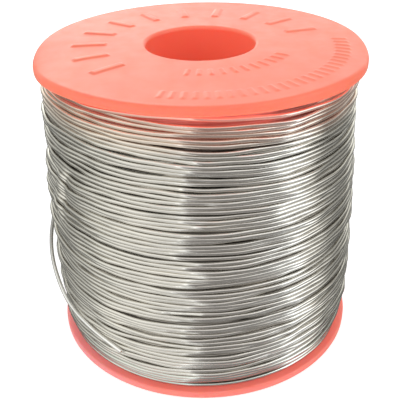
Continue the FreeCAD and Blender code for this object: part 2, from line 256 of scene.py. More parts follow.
def plastic_material(name, base):
    """Coral polystyrene, moulded: glossy, slightly milky, with a very fine skin."""
    n = Nodes(name)
    coords = n.new("ShaderNodeTexCoord").outputs["Object"]
    cloud = n.noise(coords, 45.0, 3.0, 0.55)
    fine = n.noise(coords, 1500.0, 2.0, 0.5)
    skin = n.noise(coords, 260.0, 3.0, 0.6)
    colour = n.ramp(
        cloud,
        [
            (0.30, tuple(v * 0.95 for v in base)),
            (0.50, base),
            (0.72, (min(1.0, base[0] * 1.01), base[1] * 1.08, base[2] * 1.10)),
        ],
    )
    # painted light: paler low down, where the table lights it, and a greyer pink low at the left, a painted reflection
    level = n.new("ShaderNodeSeparateXYZ", {"Vector": coords}).outputs["Z"]
    painted_table_light = n.grey(level, 1.2 * MM, 4.0 * MM, 0.55, 0.0)
    colour = n.new("ShaderNodeMixRGB", {"Fac": painted_table_light, "Color1": colour, "Color2": (0.82, 0.28, 0.27, 1.0)}).outputs[0]
    left = n.new("ShaderNodeSeparateXYZ", {"Vector": coords}).outputs["X"]
    painted_table_light = n.math("MULTIPLY", painted_table_light, n.grey(left, -26.0 * MM, -8.0 * MM, 1.2, 0.0))
    colour = n.new("ShaderNodeMixRGB", {"Fac": painted_table_light, "Color1": colour, "Color2": (0.74, 0.36, 0.40, 1.0)}).outputs[0]
    height = n.math("ADD", n.math("MULTIPLY", skin, 1.0), n.math("MULTIPLY", fine, 0.25))
    bump = n.new("ShaderNodeBump", {"Height": height, "Strength": 0.25, "Distance": 0.00006})
    # painted red glow: 0.10 on every face, rising to 0.26 on faces that look down, for daylight that comes through the
    # thin flange and leaves by its lower face
    facing = n.new("ShaderNodeNewGeometry").outputs["Normal"]
    down = n.new("ShaderNodeSeparateXYZ", {"Vector": facing}).outputs["Z"]
    through = n.grey(down, -0.9, -0.3, 0.26, 0.10)
    shader = n.new(
        "ShaderNodeBsdfPrincipled",
        {
            "Base Color": colour,
            "Roughness": n.grey(skin, 0.3, 0.7, 0.30, 0.42),
            "IOR": 1.5,
            "Subsurface Weight": 0.6,
            "Subsurface Radius": (0.0040, 0.0007, 0.0003),
            "Subsurface Scale": 1.0,
            "Emission Color": (1.0, 0.12, 0.08, 1.0),
            "Emission Strength": through,
            "Normal": bump.outputs[0],
        },
    )
    return n.finish(shader)


def flux_material():
    """Clear amber rosin."""
    n = Nodes("rosin")
    coords = n.new("ShaderNodeTexCoord").outputs["Object"]
    grain = n.noise(coords, 4000.0, 2.0, 0.6)
    colour = n.ramp(grain, [(0.3, (0.42, 0.17, 0.03)), (0.7, (0.62, 0.30, 0.07))])
    bump = n.new("ShaderNodeBump", {"Height": grain, "Strength": 0.3, "Distance": 0.00002})
    shader = n.new(
        "ShaderNodeBsdfPrincipled",
        {
            "Base Color": colour,
            "Roughness": n.grey(grain, 0.3, 0.7, 0.15, 0.3),
            "Subsurface Weight": 0.4,
            "Subsurface Radius": (0.0004, 0.0002, 0.0001),
            "Subsurface Scale": 1.0,
            "Normal": bump.outputs[0],
        },
    )
    return n.finish(shader)


WIRE = wire_material("solder_wire", (0.80, 0.775, 0.72), 0.12, 0.26, painted_glow=0.045, painted_warmth=0.05, last=0.42)
# the layer below: a darker copy of the wire, painted shade, with a stronger painted red glow and a faint painted fill
# light
WIRE_UNDER_SHADED = wire_material("solder_wire_under_painted_shade", (0.60, 0.57, 0.52), 0.22, 0.36, painted_glow=0.08, painted_warmth=0.01, painted_fill=0.02)
SLEEVE = sleeve_material()
PLASTIC = plastic_material("coral_plastic", (0.92, 0.205, 0.123))
ROSIN = flux_material()


# ------------------------------------------------------------------ mesh tools
def make_object(name, verts, faces, material, uv=None, flat=0):
    """faces is a list of arrays of (count, corners). uv is one pair per corner. The
    last faces, as many as flat says, are flat ends."""
    mesh = bpy.data.meshes.new(name)
    mesh.vertices.add(len(verts))
    mesh.vertices.foreach_set("co", np.asarray(verts, np.float32).ravel())
    corners = np.concatenate([np.asarray(f).ravel() for f in faces])
    counts = np.concatenate([np.full(len(f), np.asarray(f).shape[1]) for f in faces])
    starts = np.concatenate([[0], np.cumsum(counts)[:-1]])
    mesh.loops.add(len(corners))
    mesh.loops.foreach_set("vertex_index", corners.astype(np.int32))
    mesh.polygons.add(len(counts))
    mesh.polygons.foreach_set("loop_start", starts.astype(np.int32))
    mesh.polygons.foreach_set("use_smooth", np.arange(len(counts)) < len(counts) - flat)
    if uv is not None:
        layer = mesh.uv_layers.new(name="along")
        layer.data.foreach_set("uv", np.asarray(uv, np.float32).ravel())
    mesh.update(calc_edges=True)
    mesh.validate()
    mesh.materials.append(material)
    obj = bpy.data.objects.new(name, mesh)
    bpy.context.scene.collection.objects.link(obj)
    return obj


def tube(name, whole, radius, sides, material, first=0, last=None):
    """A round tube along the points first..last of a path, closed at both ends."""
    last = len(whole) - 1 if last is None else last
    t = np.gradient(whole, axis=0)[first : last + 1]
    t /= np.linalg.norm(t, axis=1)[:, None]
    path = whole[first : last + 1]
    # a second ring a hair inside each end keeps the flat ends out of the sides' shading
    hair = 2e-6
    path = np.concatenate([path[:1], path[:1] + hair * t[:1], path[1:-1], path[-1:] - hair * t[-1:], path[-1:]])
    t = np.concatenate([t[:1], t[:1], t[1:-1], t[-1:], t[-1:]])
    n = len(path)
    out = path * np.array([1.0, 1.0, 0.0])
    out /= np.linalg.norm(out, axis=1)[:, None]
    out -= (out * t).sum(1)[:, None] * t
    out /= np.linalg.norm(out, axis=1)[:, None]
    up = np.cross(t, out)
    angle = np.arange(sides) * 2 * np.pi / sides
    ring = path[:, None, :] + radius * (
        np.cos(angle)[None, :, None] * out[:, None, :]
        + np.sin(angle)[None, :, None] * up[:, None, :]
    )
    i = np.arange(n - 1)[:, None] * sides
    m = np.arange(sides)[None, :]
    m2 = (m + 1) % sides
    quads = np.stack([i + m, i + m2, i + sides + m2, i + sides + m], -1).reshape(-1, 4)
    caps = [
        np.arange(sides)[::-1][None, :],
        (np.arange(sides) + (n - 1) * sides)[None, :],
    ]
    along = np.concatenate([[0], np.cumsum(np.linalg.norm(np.diff(path, axis=0), axis=1))])
    u = np.repeat(along[:-1], sides)
    u2 = np.repeat(along[1:], sides)
    v = np.tile(np.arange(sides) / sides, n - 1)
    v2 = v + 1.0 / sides
    uv = np.stack(
        [np.stack([u, v], -1), np.stack([u, v2], -1), np.stack([u2, v2], -1), np.stack([u2, v], -1)],
        1,
    ).reshape(-1, 2)
    uv = np.concatenate([uv, np.zeros((2 * sides, 2))])
    return make_object(name, ring.reshape(-1, 3), [quads, *caps], material, uv, flat=2)


# ------------------------------------------------------------------ free end
# Azimuth, level and radius of the route's points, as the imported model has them.
# The first four lie further in, where the wire leaves its own turn.
WIRE_RADIUS = 0.4
ROUTE = [
    (-147.0, 36.90, 31.16),
    (-140.5, 36.85, 31.36),
    (-133.8, 36.60, 31.78),
    (-127.0, 35.90, 32.08),
    (-119.9, 34.12, 32.32),
    (-112.0, 30.98, 32.50),
    (-104.8, 27.78, 32.80),
    (-97.9, 24.63, 33.16),
    (-91.3, 21.74, 33.53),
    (-84.7, 19.15, 33.68),
    (-77.6, 16.64, 33.48),
    (-70.1, 14.35, 33.01),
    (-62.4, 12.53, 32.72),
    (-54.9, 11.44, 32.44),
    (-47.2, 10.76, 32.24),
    (-39.5, 9.98, 32.20),
    (-31.1, 8.72, 32.18),
]


def at(azimuth, level, radius):
    a = math.radians(azimuth)
    return Vector((radius * math.sin(a) * MM, -radius * math.cos(a) * MM, level * MM))


def add_free_end():
    points = [at(*p) for p in ROUTE]
    data = bpy.data.curves.new("wire_free_end", "CURVE")
    data.dimensions = "3D"
    data.bevel_depth = WIRE_RADIUS * MM
    data.bevel_resolution = 6
    data.resolution_u = 10
    data.use_fill_caps = True
    spline = data.splines.new("NURBS")
    spline.points.add(len(points) - 1)
    for sp, p in zip(spline.points, points):
        sp.co = (*p, 1.0)
    spline.order_u = 3
    spline.use_endpoint_u = True
    data.materials.append(WIRE_FREE)
    wire = bpy.data.objects.new("wire_free_end", data)
    bpy.context.scene.collection.objects.link(wire)
    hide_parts("wire_loose_end")
    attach(wire, "root")

    # rosin showing at the cut: a small dome on the end of the core
    along = (points[-1] - points[-2]).normalized()
    side = along.orthogonal().normalized()
    other = along.cross(side)
    rows, sides, radius = [(-1.6, 1.0), (-0.4, 1.0), (0.0, 1.0), (0.03, 0.92), (0.05, 0.7), (0.06, 0.35)], 16, 0.135
    verts, quads = [], []
    for k, (step, share) in enumerate(rows):
        for m in range(sides):
            a = 2 * math.pi * m / sides
            verts.append(
                points[-1]
                + along * step * MM
                + (side * math.cos(a) + other * math.sin(a)) * radius * share * MM
            )
            if k:
                m2 = (m + 1) % sides
                quads.append(
                    [(k - 1) * sides + m, (k - 1) * sides + m2, k * sides + m2, k * sides + m]
                )
    ends = [np.arange(sides)[::-1][None, :], (np.arange(sides) + (len(rows) - 1) * sides)[None, :]]
    core = make_object("rosin_core", np.array([v[:] for v in verts]), [np.array(quads), *ends], ROSIN)
    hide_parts("flux_core")
    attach(core, "root")


def free_end_material():
    """The same wire where it has no UV map: its own curve."""
    n = Nodes("solder_wire_free")
    coords = n.new("ShaderNodeTexCoord").outputs["Object"]
    patches = n.noise(coords, 220.0, 3.0, 0.6)
    colour = n.ramp(patches, [(0.3, (0.88, 0.87, 0.84)), (0.6, (0.96, 0.95, 0.93))])
    # brighter than the wound wire, with a faint white glow low down where it lies over the lower turns: painted
    # highlight; darker higher up, where it stands off the side
    z = n.new("ShaderNodeSeparateXYZ", {"Vector": coords}).outputs["Z"]
    darker_higher_up = n.grey(z, 14.0 * MM, 20.0 * MM, 1.0, 0.50)
    colour = n.new("ShaderNodeMixRGB", {"Fac": 1.0, "Color1": colour, "Color2": darker_higher_up}, blend_type="MULTIPLY").outputs[0]
    fine = n.noise(coords, 2600.0, 2.0, 0.6)
    bump = n.new("ShaderNodeBump", {"Height": fine, "Strength": 0.2, "Distance": 0.00002})
    shader = n.new(
        "ShaderNodeBsdfPrincipled",
        {
            "Base Color": colour,
            "Metallic": 1.0,
            "Roughness": n.grey(patches, 0.3, 0.7, 0.18, 0.30),
            "Emission Color": (1.0, 1.0, 1.0, 1.0),
            "Emission Strength": n.math(
                "MULTIPLY", n.grey(patches, 0.3, 0.7, 0.02, 0.07), n.grey(z, 14.0 * MM, 20.0 * MM, 1.0, 0.0)
            ),
            "Normal": bump.outputs[0],
        },
    )
    return n.finish(shader)


WIRE_FREE = free_end_material()
add_free_end()

# ------------------------------------------------------------------ winding
COLUMNS = 360  # samples in one turn
AZ = np.arange(COLUMNS) * 360.0 / COLUMNS - 180.0
LOWEST, HIGHEST = 1.75 + WIRE_RADIUS, 59.95 - WIRE_RADIUS
TURNS = 66


def near(azimuth, centre, half):
    d = (azimuth - centre + 180.0) % 360.0 - 180.0
    return np.exp(-((d / half) ** 2))


def soft_noise(rng, rows, half_deg, across=0.0):
    """Smooth random rows round the spool, unit size, alike in neighbouring rows."""
    x = rng.standard_normal((rows, COLUMNS))
    k = np.fft.rfftfreq(COLUMNS, 360.0 / COLUMNS)
    f = np.fft.rfft(x, axis=1) * np.exp(-0.5 * (2 * np.pi * k * half_deg) ** 2)[None, :]
    x = np.fft.irfft(f, COLUMNS, axis=1)
    if across:
        reach = int(3 * across) + 1
        w = np.exp(-0.5 * (np.arange(-reach, reach + 1) / across) ** 2)
        padded = np.pad(x, ((reach, reach), (0, 0)), mode="edge")
        x = sum(w[s] * padded[s : s + rows] for s in range(2 * reach + 1))
    return x / x.std()


def spaced(z, low, high, pitch):
    """Moves each column's rows as little as possible until none overlap."""
    out = np.empty_like(z)
    rows = len(z)
    steps = pitch * np.arange(rows)
    high = np.broadcast_to(high, z.shape[1])
    for j in range(z.shape[1]):
        values, weights = [], []
        for v in z[:, j] - steps:
            values.append(v)
            weights.append(1)
            while len(values) > 1 and values[-2] > values[-1]:
                w = weights[-2] + weights[-1]
                values[-2] = (values[-2] * weights[-2] + values[-1] * weights[-1]) / w
                weights[-2] = w
                values.pop()
                weights.pop()
        flat = np.repeat(values, weights)
        out[:, j] = np.clip(flat, low, high[j] - pitch * (rows - 1)) + steps
    return out


def wrapped_smooth(x, half_deg):
    k = np.fft.rfftfreq(COLUMNS, 360.0 / COLUMNS)
    return np.fft.irfft(
        np.fft.rfft(x, axis=1) * np.exp(-0.5 * (2 * np.pi * k * half_deg) ** 2), COLUMNS, axis=1
    )


def envelope(z, azimuth):
    """Outside radius of the winding: a slight barrel, fuller at the left."""
    r = np.interp(
        z,
        [1.75, 2.6, 4.5, 8.0, 16.0, 26.0, 36.0, 41.0, 47.0, 59.95],
        [30.45, 30.6, 31.3, 31.6, 31.8, 31.7, 31.45, 31.25, 30.8, 30.65],
    )
    bulge = 0.55 * near(azimuth, -80.0, 20.0) * np.exp(-(((z - 34.0) / 6.5) ** 2))
    bulge += 0.62 * near(azimuth, -84.0, 24.0) * np.exp(-(((z - 50.0) / 3.6) ** 4))
    bulge += 0.12 * near(azimuth, -80.0, 25.0) - 0.30 * near(azimuth, 82.0, 28.0) * np.clip((z - 20.0) / 4.0, 0, 1)
    return r + bulge


# Open places between turns at the front: level mm, azimuth, half length in
# degrees, width mm.
OPEN = [
    (55.9, 3.0, 9.0, 0.33),
    (54.8, 8.0, 12.0, 0.16), (53.9, 4.0, 15.0, 0.36), (52.9, -9.0, 6.0, 0.14), (52.5, 18.0, 8.0, 0.20),
    (52.1, -20.0, 8.0, 0.16), (51.2, 5.0, 6.0, 0.12), (49.9, 0.0, 12.0, 0.24), (50.2, 35.0, 8.0, 0.18),
    (49.4, -26.0, 8.0, 0.20), (48.7, 3.0, 7.0, 0.28), (47.9, -35.0, 7.0, 0.12), (46.95, 3.0, 9.0, 0.34),
    (47.2, -14.0, 7.0, 0.16), (45.5, -6.0, 7.0, 0.18), (43.1, 8.0, 12.0, 0.18), (42.5, -33.0, 7.0, 0.18),
    (41.6, 10.0, 11.0, 0.28), (41.3, -13.0, 7.0, 0.22), (40.7, 3.0, 9.0, 0.26), (39.8, 9.0, 6.0, 0.24),
    (40.0, -30.0, 10.0, 0.18), (38.1, -10.0, 6.0, 0.16), (36.2, 13.0, 9.0, 0.26), (36.0, -36.0, 8.0, 0.18),
    (35.1, 33.0, 9.0, 0.18), (34.6, -18.0, 10.0, 0.22), (33.2, 7.0, 15.0, 0.38), (32.3, 12.0, 10.0, 0.16),
    (30.3, -19.0, 7.0, 0.22), (30.3, 13.0, 12.0, 0.24), (29.2, -12.0, 8.0, 0.16), (28.2, 14.0, 8.0, 0.24),
    (27.6, -4.0, 5.0, 0.16), (27.0, 13.0, 12.0, 0.24), (25.3, 13.0, 9.0, 0.16), (24.5, -13.0, 5.0, 0.26),
    (24.6, -27.0, 8.0, 0.20), (23.2, -22.0, 12.0, 0.20), (21.6, -31.0, 5.0, 0.22), (21.8, 38.0, 9.0, 0.20),
    (26.0, 32.0, 5.0, 0.28), (20.7, -8.0, 6.0, 0.30), (20.8, 14.0, 14.0, 0.22), (19.6, 20.0, 5.0, 0.20),
    (18.0, 15.0, 13.0, 0.30), (15.8, -33.0, 6.0, 0.18), (14.7, -16.0, 6.0, 0.22), (15.3, 8.0, 9.0, 0.20),
    (14.3, 23.0, 9.0, 0.20), (13.0, -13.0, 7.0, 0.34), (11.9, -9.0, 5.0, 0.26), (10.9, 9.0, 12.0, 0.28),
    (10.0, 11.0, 6.0, 0.18), (7.0, 7.0, 11.0, 0.30), (6.4, -28.0, 5.0, 0.28), (6.0, 18.0, 4.0, 0.30),
    (5.1, 4.0, 9.0, 0.28), (3.3, 12.0, 17.0, 0.95), (33.0, -33.0, 6.0, 0.20), (13.3, 40.0, 9.0, 0.24),
    (32.0, -72.0, 9.0, 0.26), (46.0, -66.0, 10.0, 0.22), (50.5, -60.0, 9.0, 0.18), (22.0, -62.0, 12.0, 0.24),
    (17.0, -70.0, 9.0, 0.20), (41.0, 62.0, 9.0, 0.30), (36.5, 66.0, 9.0, 0.26), (28.0, 60.0, 10.0, 0.28),
    (19.0, 66.0, 9.0, 0.22), (10.0, 60.0, 9.0, 0.24), (47.5, 52.0, 8.0, 0.28), (44.0, 44.0, 7.0, 0.24),
]
# Turns that lie deeper than their neighbours: level, azimuth, half length, depth mm.
SUNK = [
    (54.9, 8.0, 11.0, 0.30), (48.6, 3.0, 7.0, 0.30),
    (46.6, 3.0, 9.0, 0.20), (41.4, 9.0, 10.0, 0.22), (39.6, 9.0, 6.0, 0.22), (33.0, 5.0, 12.0, 0.22),
    (26.9, 13.0, 12.0, 0.34), (20.5, -8.0, 6.0, 0.25), (17.9, 14.0, 12.0, 0.20), (10.8, 9.0, 12.0, 0.20),
    (6.8, 7.0, 10.0, 0.20), (3.5, 11.0, 16.0, 0.25), (36.1, 13.0, 8.0, 0.2), (12.8, -13.0, 7.0, 0.22),
]


def across_rows(x, reach):
    """Smooths over neighbouring rows."""
    half = int(3 * reach) + 1
    w = np.exp(-0.5 * (np.arange(-half, half + 1) / reach) ** 2)
    w /= w.sum()
    padded = np.pad(x, ((half, half), (0, 0)), mode="edge")
    return sum(w[k] * padded[k : k + len(x)] for k in range(2 * half + 1))


# Level of the last turn but one and of the last turn, by azimuth: they part at the
# front, where the wide gap under the flange is.
LAST_BUT_ONE = [
    (-180, 57.6), (-90, 57.7), (-70, 58.0), (-60, 58.2), (-42, 58.25), (-35, 58.25), (-29, 58.22), (-21.5, 58.08),
    (-14, 57.94), (-9, 57.79), (-3.5, 57.64), (2, 57.5), (7, 57.34), (12, 57.24), (18, 57.04), (23, 56.84),
    (29, 56.78), (35, 56.9), (42, 57.05), (50, 56.75), (59, 56.8), (80, 57.3), (110, 57.6), (180, 57.6),
]
LAST = [
    (-180, 58.9), (-110, 58.8), (-90, 58.6), (-76, 58.6), (-60, 58.8), (-50, 58.9), (-42, 58.91), (-35, 58.92),
    (-29, 59.13), (-21.5, 59.20), (-14, 59.0), (-9, 59.04), (-3.5, 59.06), (2, 58.9), (7, 58.66), (12, 58.58),
    (18, 58.4), (23, 58.18), (29, 58.08), (35, 57.98), (42, 57.90), (50, 57.6), (59, 57.65), (80, 58.1),
    (110, 58.6), (130, 58.9), (180, 58.9),
]
# how much deeper or further out they lie than the winding's own surface
LAST_BUT_ONE_OUT = [
    (-180, 0.0), (-78, -0.1), (-66, -0.95), (-42, -1.0), (-29, -1.0), (-21.5, -0.75), (-14, -0.3), (-9, 0.0),
    (180, 0.0),
]
LAST_OUT = [(-180, 0.0), (-60, 0.0), (-42, 0.05), (-29, 0.12), (-14, 0.08), (-9, 0.0), (180, 0.0)]


def by_azimuth(table):
    values = np.interp(AZ, [a for a, _ in table], [v for _, v in table])
    return wrapped_smooth(values[None, :], 3.0)[0]


def turn_at(level):
    """Level of the turn that the camera sees at this level of the winding's mean surface."""
    return level - (15.6 - 0.5 * (float(envelope(level, 0.0)) - WIRE_RADIUS)) / 0.866


def layer(rng, turns, spread, top=HIGHEST):
    """Levels of the rows of one layer, rows by columns: level rows, unevenly spaced."""
    room = (top - LOWEST) - 2 * WIRE_RADIUS * (turns - 1)
    weight = np.exp(spread * rng.standard_normal((turns - 1, 1)))
    gaps = weight * np.maximum(0.03, 0.6 + 0.8 * soft_noise(rng, turns - 1, 16.0))
    gaps *= (room / gaps.sum(0))[None, :]
    z = LOWEST + np.concatenate([np.zeros((1, COLUMNS)), np.cumsum(2 * WIRE_RADIUS + gaps, 0)])
    straight = LOWEST + np.arange(turns)[:, None] * (top - LOWEST + np.zeros(COLUMNS))[None, :] / (turns - 1)
    off = z - straight
    return straight + off - across_rows(off, 2.5)


WIDE = 0.32  # open places at least this wide fix the levels of the turns beside them


def wide_places():
    return [(level, centre) for level, centre, half, width in sorted(OPEN) if width > WIDE and 30 < level < 55]


def level_rows(rows, top, aims):
    """Moves whole rows so that the widest open places fall between two of them."""
    pitch = (top - LOWEST) / (len(rows) - 1)
    targets, moves = [LOWEST - 1.0], [0.0]
    for aim in aims:
        k = round((aim - moves[-1] - LOWEST) / pitch - 0.5)
        targets.append(aim)
        moves.append(aim - (LOWEST + (k + 0.5) * pitch))
    move = np.interp(rows[:, 0], targets + [top], moves + [0.0])
    near_top = np.exp(-(len(rows) - 1 - np.arange(len(rows))) / 12.0)
    return rows + move[:, None] + near_top[:, None] * (by_azimuth(LAST_BUT_ONE) - top)[None, :]


def outer_levels(rng):
    """Levels of all the outer rows but the last. The aims are corrected twice, because
    close rows push each other off them."""
    top = 57.4
    rows = layer(rng, TURNS - 1, 0.8, top)
    fine = 0.03 * soft_noise(rng, TURNS - 1, 9.0, 1.5) + 0.03 * soft_noise(rng, TURNS - 1, 4.0)
    wanted = [turn_at(level) for level, _ in wide_places()]
    aims = list(wanted)
    for attempt in range(3):
        z = level_rows(rows, top, aims)
        z = opened(z + warp(z, np.broadcast_to(AZ, z.shape))) + fine
        z = spaced(z, LOWEST, by_azimuth(LAST_BUT_ONE), 2 * WIRE_RADIUS)
        for n, (level, centre) in enumerate(wide_places()):
            column = int(round((centre + 180.0) / 360.0 * COLUMNS)) % COLUMNS
            middle = 0.5 * (z[1:, column] + z[:-1, column])
            k = int(np.argmax(np.diff(z[:, column]) - 0.5 * np.abs(middle - wanted[n])))
            aims[n] += 0.8 * float(np.clip(wanted[n] - middle[k], -0.4, 0.4))
    return z


def opened(z):
    """Pushes rows apart at the open places; the push fades over the rows beside."""
    shift = np.zeros_like(z)
    for level, centre, half, width in OPEN:
        level = turn_at(level)
        column = int(round((centre + 180.0) / 360.0 * COLUMNS)) % COLUMNS
        k = int(np.clip(np.searchsorted(z[:, column], level), 1, len(z) - 1))
        n = np.arange(len(z)) - k + 0.5
        push = (0.5 if width >= WIDE else 0.22) * width * np.sign(n) * np.exp(-(np.abs(n) - 0.5) / 1.6)
        shift += push[:, None] * near(AZ, centre, half)[None, :]
    return z + shift


def warp(z, azimuth):
    """Turns that lean: how far they fall from the left to the right of the front."""
    fall = np.interp(
        z,
        [1.75, 4.0, 7.5, 11.0, 15.0, 28.0, 33.0, 38.0, 42.0, 46.0, 50.0, 54.0, 58.0, 59.95],
        [0.0, -0.3, -0.65, -0.5, 0.0, 0.0, 0.6, 0.2, 0.1, 0.8, 1.10, 0.8, 0.0, 0.0],
    )
    return -0.5 * fall * np.sin(np.radians(azimuth)) / math.sin(math.radians(50.0))


def winding():
    rng = np.random.default_rng(41)
    under = spaced(layer(rng, 68, 0.6), LOWEST, HIGHEST, 2 * WIRE_RADIUS)
    under = wrapped_smooth(under, 2.0)
    z = np.concatenate([outer_levels(rng), by_azimuth(LAST)[None, :]])
    az = np.broadcast_to(AZ, z.shape)
    # the seam where the turns climb over the layer below, at the left
    at_seam = np.interp(z, [31.0, 35.0, 38.5, 41.5, 44.0], [-61.5, -60.5, -59.0, -57.0, -53.5])
    seam = np.clip((z - 31.0) / 1.5, 0, 1) * np.clip((44.5 - z) / 1.5, 0, 1)
    off = az - at_seam
    z -= 0.34 * seam * np.tanh(off / 1.3) * np.exp(-((off / 12.0) ** 2))
    # the last turn keeps its own level: it may lie above and outside the one before
    z[:-1] = spaced(z[:-1], LOWEST, by_azimuth(LAST_BUT_ONE), 2 * WIRE_RADIUS)
    z = wrapped_smooth(z, 1.2)

    # radius: each row lies in or on the rows of the layer below
    r_under = envelope(under, np.broadcast_to(AZ, under.shape)) - WIRE_RADIUS - 0.74
    r_under += 0.02 * soft_noise(rng, len(under), 4.0)
    hollow = near(np.broadcast_to(AZ, under.shape), -10.0, 46.0)
    r_under -= 1.30 * np.clip(1.6 * hollow, 0, 1) * np.clip((under - 56.0) / 0.8, 0, 1)
    # in the wider open places the turns below are down in the dark too
    dark = np.zeros_like(r_under)
    for level, centre, half, width in OPEN:
        if width >= 0.26 and level < 55.0:
            across = np.exp(-(((under - turn_at(level) + 0.25) / 0.6) ** 2))
            dark = np.maximum(dark, across * near(np.broadcast_to(AZ, under.shape), centre, half))
    # and in every gap that can be seen into
    gap = np.diff(z, axis=0) - 2 * WIRE_RADIUS
    middle = 0.5 * (z[1:] + z[:-1])
    for row in range(len(under)):
        across = np.exp(-(((under[row][None, :] - middle + 0.3) / 0.45) ** 2))
        dark[row] = np.maximum(dark[row], 0.7 * (across * np.clip((gap - 0.08) / 0.12, 0, 1)).max(0))
    r_under -= 0.9 * wrapped_smooth(dark, 2.0)
    r = np.zeros_like(z)
    reach = (2 * WIRE_RADIUS) ** 2
    flat_under = envelope(under, np.broadcast_to(AZ, under.shape)) - WIRE_RADIUS - 0.74
    for j in range(COLUMNS):
        d2 = (z[:, j][:, None] - under[:, j][None, :]) ** 2
        lift = np.where(d2 < reach, flat_under[:, j][None, :] + np.sqrt(np.maximum(0, reach - d2)), 0)
        r[:, j] = lift.max(1)
    low = envelope(z, az) - WIRE_RADIUS - 0.16
    r = np.maximum(r, low)
    r = wrapped_smooth(r, 3.0)
    uneven = 0.09 * soft_noise(rng, TURNS, 5.0, 1.1) + 0.10 * soft_noise(rng, TURNS, 13.0)
    uneven += 0.07 * soft_noise(rng, TURNS, 5.0) + 0.07 * soft_noise(rng, TURNS, 3.0)
    uneven += 0.13 * np.clip(soft_noise(rng, TURNS, 22.0), -1.5, 1.5)
    # the turn over a gap sags into it, and here and there one lies deeper
    uneven[1:] -= 0.20 * wrapped_smooth(np.clip((gap - 0.04) / 0.14, 0, 1.1), 3.0)
    uneven -= 0.16 * np.clip(soft_noise(rng, TURNS, 11.0) - 0.35, 0, 1.3)
    r += uneven * np.interp(np.arange(TURNS), [0, 1, 3, 5], [0.2, 0.35, 0.8, 1.0])[:, None]
    for level, centre, half, depth in SUNK:
        column = int(round((centre + 180.0) / 360.0 * COLUMNS)) % COLUMNS
        k = int(np.argmin(np.abs(z[:, column] - turn_at(level))))
        r[k] -= depth * np.exp(-((((AZ - centre + 180.0) % 360.0 - 180.0) / half) ** 4))
    r[-2] += by_azimuth(LAST_BUT_ONE_OUT) - 0.25 * np.exp(-(((AZ - 7.0) / 19.0) ** 4))
    r[-1] += by_azimuth(LAST_OUT)
    step = np.clip((z - 44.5) / 2.0, 0, 1) * np.clip((57.0 - z) / 2.0, 0, 1)
    r -= 0.125 * step * np.tanh((az + 4.5) / 5.0) * near(az, -4.5, 16.0)
    lumpy = 0.75 + 0.5 * np.sin(2.1 * np.arange(TURNS))[:, None]
    r += seam * (0.34 * lumpy * np.exp(-(((off + 2.4) / 2.4) ** 2)) - 0.22 * np.exp(-(((off - 2.0) / 1.8) ** 2)))
    r += 0.08 * seam * np.exp(-(((off + 13.0) / 9.0) ** 2))
    return z, r, under, r_under


def helix(z, r, first, last, step_from=150.0):
    """One wire through rows first..last, a row up in the last degrees of a turn.
    first and last are (row, column). Gives the azimuth in degrees and the level and radius in mm."""
    k0, k1 = first[0] * COLUMNS + first[1], last[0] * COLUMNS + last[1]
    k = np.arange(k0, k1 + 1)
    i, j = k // COLUMNS, k % COLUMNS
    share = np.clip((AZ[j] - step_from) / (180.0 - step_from), 0, 1)
    share = share * share * (3 - 2 * share)
    i2 = np.minimum(i + 1, len(z) - 1)
    level = z[i, j] * (1 - share) + z[i2, j] * share
    radius = r[i, j] * (1 - share) + r[i2, j] * share
    return AZ[j], level, radius


def points_of(azimuth, level, radius):
    a = np.radians(azimuth)
    return np.stack([radius * np.sin(a), -radius * np.cos(a), level], -1) * MM


def ramp_in(radius, count, depth, start):
    """Sinks one end of a wire under the turns beside it."""
    share = np.clip(np.arange(len(radius)) / count, 0, 1)
    dip = depth * (1 - share * share * (3 - 2 * share))
    return radius - (dip if start else dip[::-1])


def add_winding():
    z, r, under, r_under = winding()
    column = int(round((-147.0 + 180.0) / 360.0 * COLUMNS))
    row = int(np.argmin(np.abs(z[:, column] - 36.9)))
    step = int(round((150.0 + 180.0) / 360.0 * COLUMNS))
    a, level, radius = helix(z, r, (0, 0), (row, column))
    lower = points_of(a, level, ramp_in(radius, 10, 0.8, True))
    a, level, radius = helix(z, r, (row, column), (TURNS - 1, step))
    radius = ramp_in(ramp_in(radius, 14, 0.82, True), 10, 0.8, False)
    upper = points_of(a, level, radius)
    made = []
    for name, path, parts, offset in (("lower", lower, 3, 0), ("upper", upper, 2, column)):
        cuts = [0]
        for p in range(1, parts):
            cuts.append(int(round(len(path) * p / parts / COLUMNS)) * COLUMNS - offset)
        cuts.append(len(path) - 1)
        for p in range(parts):
            piece = tube(
                "wire_turns_%s_%d" % (name, p + 1), path, WIRE_RADIUS * MM, 12, WIRE, cuts[p], cuts[p + 1]
            )
            made.append(piece)
    for piece in made:
        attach(piece, "root")
        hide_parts("wire_outer_layer")
    a, level, radius = helix(under, r_under, (0, 0), (len(under) - 1, step))
    path = points_of(a, level, radius)
    cuts = [0, len(under) // 3 * COLUMNS, 2 * len(under) // 3 * COLUMNS, len(path) - 1]
    for p, (first, last) in enumerate(zip(cuts, cuts[1:])):
        piece = tube("wire_layer_below_%d" % (p + 1), path, WIRE_RADIUS * MM, 8, WIRE_UNDER_SHADED, first, last)
        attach(piece, "root")
        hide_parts("wire_under_layer")


add_winding()


# ------------------------------------------------------------------ mouldings
def arc(centre, radius, start, end, count):
    a = np.radians(np.linspace(start, end, count))
    return [(centre[0] + radius * math.cos(t), centre[1] + radius * math.sin(t)) for t in a]


def run(a, b, step):
    n = max(1, int(math.ceil(math.dist(a, b) / step)))
    return [(a[0] + (b[0] - a[0]) * k / n, a[1] + (b[1] - a[1]) * k / n) for k in range(n + 1)]


def chain(*parts):
    out = []
    for part in parts:
        for p in part:
            if not out or math.dist(out[-1], p) > 1e-6:
                out.append(p)
    if math.dist(out[0], out[-1]) < 1e-6:
        out.pop()
    return out


